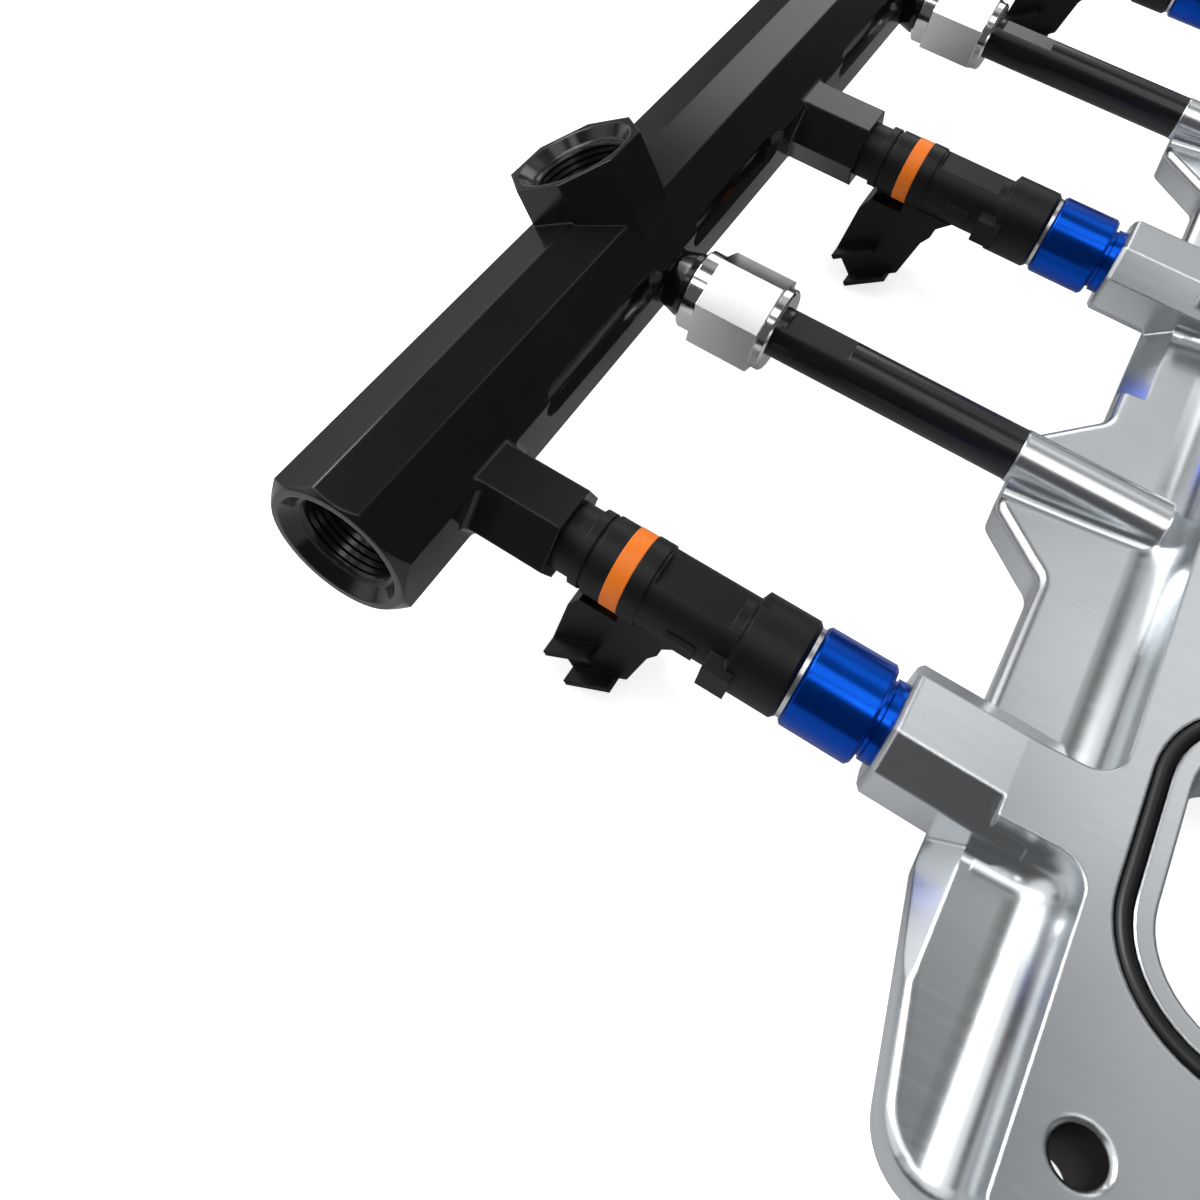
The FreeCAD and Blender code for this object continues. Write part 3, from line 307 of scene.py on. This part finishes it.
AXIS = Vector((0, RAIL_Y, RAIL_Z))
TOP_AXIS = UP * math.sin(TOP_PORT_TURN) + DOWN * math.cos(TOP_PORT_TURN)
TOP_MOUTH = AXIS + ALONG * STANDOFFS[0] + TOP_AXIS * TOP_PORT_FACE
THREAD_START, END_THREAD, TOP_THREAD = 2.8, 14, 11
for name, side in (("near", -1), ("far", 1)):
    mouth = AXIS + ALONG * (side * RAIL_HALF)
    thread(f"thread_{name}", mouth, ALONG * side, PORT_TAP_R, THREAD_START, END_THREAD)
thread("thread_top", TOP_MOUTH, TOP_AXIS, PORT_TAP_R, THREAD_START, TOP_THREAD)


def axis_height(y):
    """Height of the injectors' and standoffs' axis over the slab, at a place across the plate."""
    return RAIL_Z - (RAIL_Y - y) * math.tan(TILT) - SLAB


def foot_of_ridge(name, x, side, radius=3.0):
    """A small milled fillet between a standoff ridge and the floor."""
    rows = []
    for step in range(25):
        y = RIDGE_FOOT_START - step * RIDGE_FOOT_STEP
        height = axis_height(y)
        middle = math.sqrt((RIDGE_R + radius) ** 2 - (height - radius) ** 2)
        rise = math.atan2(height - radius, -middle)
        start, finish = -math.pi / 2, rise if rise < 0 else rise - 2 * math.pi
        row = []
        for part in range(9):
            turn = start + (finish - start) * part / 8
            across = middle + radius * math.cos(turn)
            row.append((x + side * across, y, SLAB + radius + radius * math.sin(turn) + 0.02))
        rows.append(row)
    return surface(name, rows, PLATE, False)


def foot_of_boss(name, x, side, start_y, finish_y, radius=3.0):
    """A small milled fillet between a boss's upright side and the floor."""
    rows = []
    for step in range(17):
        y = start_y + (finish_y - start_y) * step / 16
        bend = radius * math.sqrt(min(1, (y - finish_y) / 5)) + 0.03
        row = []
        for part in range(9):
            turn = -math.pi / 2 - part / 8 * math.pi / 2
            across = BOSS_HALF + bend + bend * math.cos(turn)
            row.append((x + side * across, y, SLAB + bend + bend * math.sin(turn) + 0.02))
        rows.append(row)
    return surface(name, rows, PLATE, False)


for number, x in enumerate(STANDOFFS, start=1):
    for letter, side in (("a", -1), ("b", 1)):
        foot_of_ridge(f"ridge_foot_{number}{letter}", x, side)
for number, x in enumerate(STATIONS, start=1):
    foot_of_boss(f"boss_foot_{number}a", x, -1, BOSS_FOOT_NEAR, BOSS_FOOT_END)
    foot_of_boss(f"boss_foot_{number}b", x, 1, BOSS_FOOT_FAR, BOSS_FOOT_END)

# Dull walls inside the bolt holes: a real rough drilled finish, with a dark colour that is painted
# shade in the recesses
BOLT_XS = [-BOLT_END, *STANDOFFS, BOLT_END]
LINER_R, LINER_HEIGHTS = 3.83, (0.3, 6, 12, 18, 19.2)
for row, y in enumerate((-BOLT_ROW, BOLT_ROW), start=1):
    for column, x in enumerate(BOLT_XS, start=1):
        centre = Vector((x, y, 0))
        up = Vector((0, 0, 1))
        rows = [ring(centre + up * height, up, ALONG, LINER_R, 48) for height in LINER_HEIGHTS]
        surface(f"bolt_bore_{row}_{column}", rows, BORE_PAINTED_SHADE, True)


# Floor and studio
def stage_material():
    material, tree = new_material("floor")
    path, direct = ray_kinds(tree)
    pale = add_node(tree, "ShaderNodeBsdfDiffuse", Color=(0.86, 0.86, 0.87, 1))
    white = add_node(tree, "ShaderNodeEmission", Color=(1, 1, 1, 1), Strength=0.76)
    both = tree.nodes.new("ShaderNodeAddShader")
    tree.links.new(pale.outputs[0], both.inputs[0])
    tree.links.new(white.outputs[0], both.inputs[1])

    # Reflections see a table of limited size
    place = tree.nodes.new("ShaderNodeTexCoord")
    reach = add_node(tree, "ShaderNodeVectorMath", operation="DISTANCE")
    reach.inputs[1].default_value = (-0.05, 0.1, 0)
    tree.links.new(place.outputs["Object"], reach.inputs[0])
    near = remap(tree, reach.outputs["Value"], 1.0, 0.04, 0.35, 0.80, smooth=True)
    lit = add_node(tree, "ShaderNodeBsdfDiffuse", Color=(0.56, 0.56, 0.57, 1))
    dark = add_node(tree, "ShaderNodeBsdfDiffuse", Color=(0.03, 0.03, 0.03, 1))
    table = mixed(tree, near, dark.outputs[0], lit.outputs[0])

    soft = mixed(tree, path.outputs["Is Glossy Ray"], pale.outputs[0], table)
    output = tree.nodes.new("ShaderNodeOutputMaterial")
    tree.links.new(mixed(tree, direct, soft, both.outputs[0]), output.inputs["Surface"])
    return material


FLOOR_Z = -0.017
floor_mesh = bpy.data.meshes.new("floor")
REACH = 6.0
corners = [(-REACH, -REACH, 0), (REACH, -REACH, 0), (REACH, REACH, 0), (-REACH, REACH, 0)]
floor_mesh.from_pydata(corners, [], [(0, 1, 2, 3)])
floor = bpy.data.objects.new("floor", floor_mesh)
floor.location = (0, 0, FLOOR_Z)
floor_mesh.materials.append(stage_material())
bpy.context.scene.collection.objects.link(floor)


def build_world():
    """White to the camera; to the object a studio with a pale back wall and a ceiling strip."""
    world = bpy.data.worlds.new("studio")
    world.use_nodes = True
    bpy.context.scene.world = world
    tree = world.node_tree
    tree.nodes.clear()

    def calc(operation, first, second=None):
        node = tree.nodes.new("ShaderNodeMath")
        node.operation = operation
        for index, source in enumerate((first, second)):
            if source is None:
                continue
            if isinstance(source, (int, float)):
                node.inputs[index].default_value = source
            else:
                tree.links.new(source, node.inputs[index])
        return node.outputs[0]

    def rise(source, start, end, level=1.0):
        return remap(tree, source, 0.0, level, start, end, smooth=True)

    def towards(direction):
        node = tree.nodes.new("ShaderNodeVectorMath")
        node.operation = "DOT_PRODUCT"
        node.inputs[1].default_value = Vector(direction).normalized()
        tree.links.new(coordinates.outputs["Generated"], node.inputs[0])
        return node.outputs["Value"]

    _, direct = ray_kinds(tree)
    coordinates = tree.nodes.new("ShaderNodeTexCoord")
    split = tree.nodes.new("ShaderNodeSeparateXYZ")
    tree.links.new(coordinates.outputs["Generated"], split.inputs[0])
    x, y, z = split.outputs
    # The back wall fades towards the table
    low = remap(tree, z, 0.42, 1.0, 0.0, 0.30, smooth=True)
    wall = rise(towards((0.0, 0.93, 0.36)), 0.60, 0.80, 0.88)
    back = calc("MULTIPLY", wall, low)
    strip_width = rise(calc("ABSOLUTE", calc("ADD", x, 0.10)), 0.22, 0.14)
    strip = calc("MULTIPLY", rise(z, 0.80, 0.93, 1.7), strip_width)
    right_width = rise(calc("ABSOLUTE", calc("ADD", y, 0.16)), 0.34, 0.20)
    right = calc("MULTIPLY", rise(x, 0.26, 0.52, 0.46), right_width)
    right = calc("MULTIPLY", right, rise(z, 0.1, 0.4))
    # Soft patches and two small lamps
    patch = rise(towards((0.60, -0.20, 0.77)), 0.980, 0.994, 0.50)
    floor_side = rise(towards((0.26, -0.38, 0.89)), 0.962, 0.985, 0.32)
    small = rise(towards((-0.42, -0.27, 0.87)), 0.988, 0.995, 3.4)
    smaller = rise(towards((-0.50, 0.13, 0.86)), 0.991, 0.996, 2.6)
    level = calc("ADD", 0.09, back)
    for part in (strip, right, patch, floor_side, small, smaller):
        level = calc("ADD", level, part)
    studio = tree.nodes.new("ShaderNodeBackground")
    studio.inputs["Color"].default_value = (0.985, 0.99, 1.0, 1)
    tree.links.new(level, studio.inputs["Strength"])
    white = add_node(tree, "ShaderNodeBackground", Color=(1, 1, 1, 1), Strength=1.0)
    mix = mixed(tree, direct, studio.outputs[0], white.outputs[0])
    output = tree.nodes.new("ShaderNodeOutputWorld")
    tree.links.new(mix, output.inputs["Surface"])


build_world()


def softbox(name, place, target, size, watts):
    light = bpy.data.lights.new(name, "AREA")
    light.shape = "RECTANGLE"
    light.size, light.size_y = size
    light.energy = watts
    lamp = bpy.data.objects.new(name, light)
    lamp.location = place
    aim = Vector(target) - Vector(place)
    lamp.rotation_euler = aim.to_track_quat("-Z", "Y").to_euler()
    bpy.context.scene.collection.objects.link(lamp)
    return lamp


CENTRE = (-0.05, 0.10, 0.02)
softbox("key", (0.15, 1.15, 1.25), CENTRE, (0.9, 0.6), 17)
softbox("fill", (1.3, 0.4, 0.7), CENTRE, (0.7, 0.7), 2.8)


# Camera, from the photograph's viewing angle
def build_camera():
    picture, focal = 1200, 1177.3
    centre_across, centre_down = 591.9, 416.2
    rotation_vector = Vector((2.369, 0.725, -0.088))
    turn = Matrix.Rotation(rotation_vector.length, 3, rotation_vector.normalized())
    shift = Vector((-31.292, 6.552, 226.171))
    basis = Matrix((DOWN, ALONG, UP)).transposed()
    origin = Vector((-PITCH, RAIL_Y, RAIL_Z))
    centre = origin + basis @ (-(turn.transposed() @ shift))
    right = basis @ turn[0]
    lower = basis @ turn[1]
    ahead = basis @ turn[2]
    matrix = Matrix((right, -lower, -ahead)).transposed().to_4x4()
    matrix.translation = centre * MM
    camera = bpy.data.cameras.new("camera")
    camera.sensor_width = 36.0
    camera.lens = focal / picture * camera.sensor_width
    camera.shift_x = (picture / 2 - centre_across) / picture
    camera.shift_y = (centre_down - picture / 2) / picture
    camera.clip_start = 0.005
    camera.clip_end = 30.0
    holder = bpy.data.objects.new("camera", camera)
    holder.matrix_world = matrix
    bpy.context.scene.collection.objects.link(holder)
    bpy.context.scene.camera = holder


build_camera()
bpy.context.scene.view_settings.view_transform = "Standard"
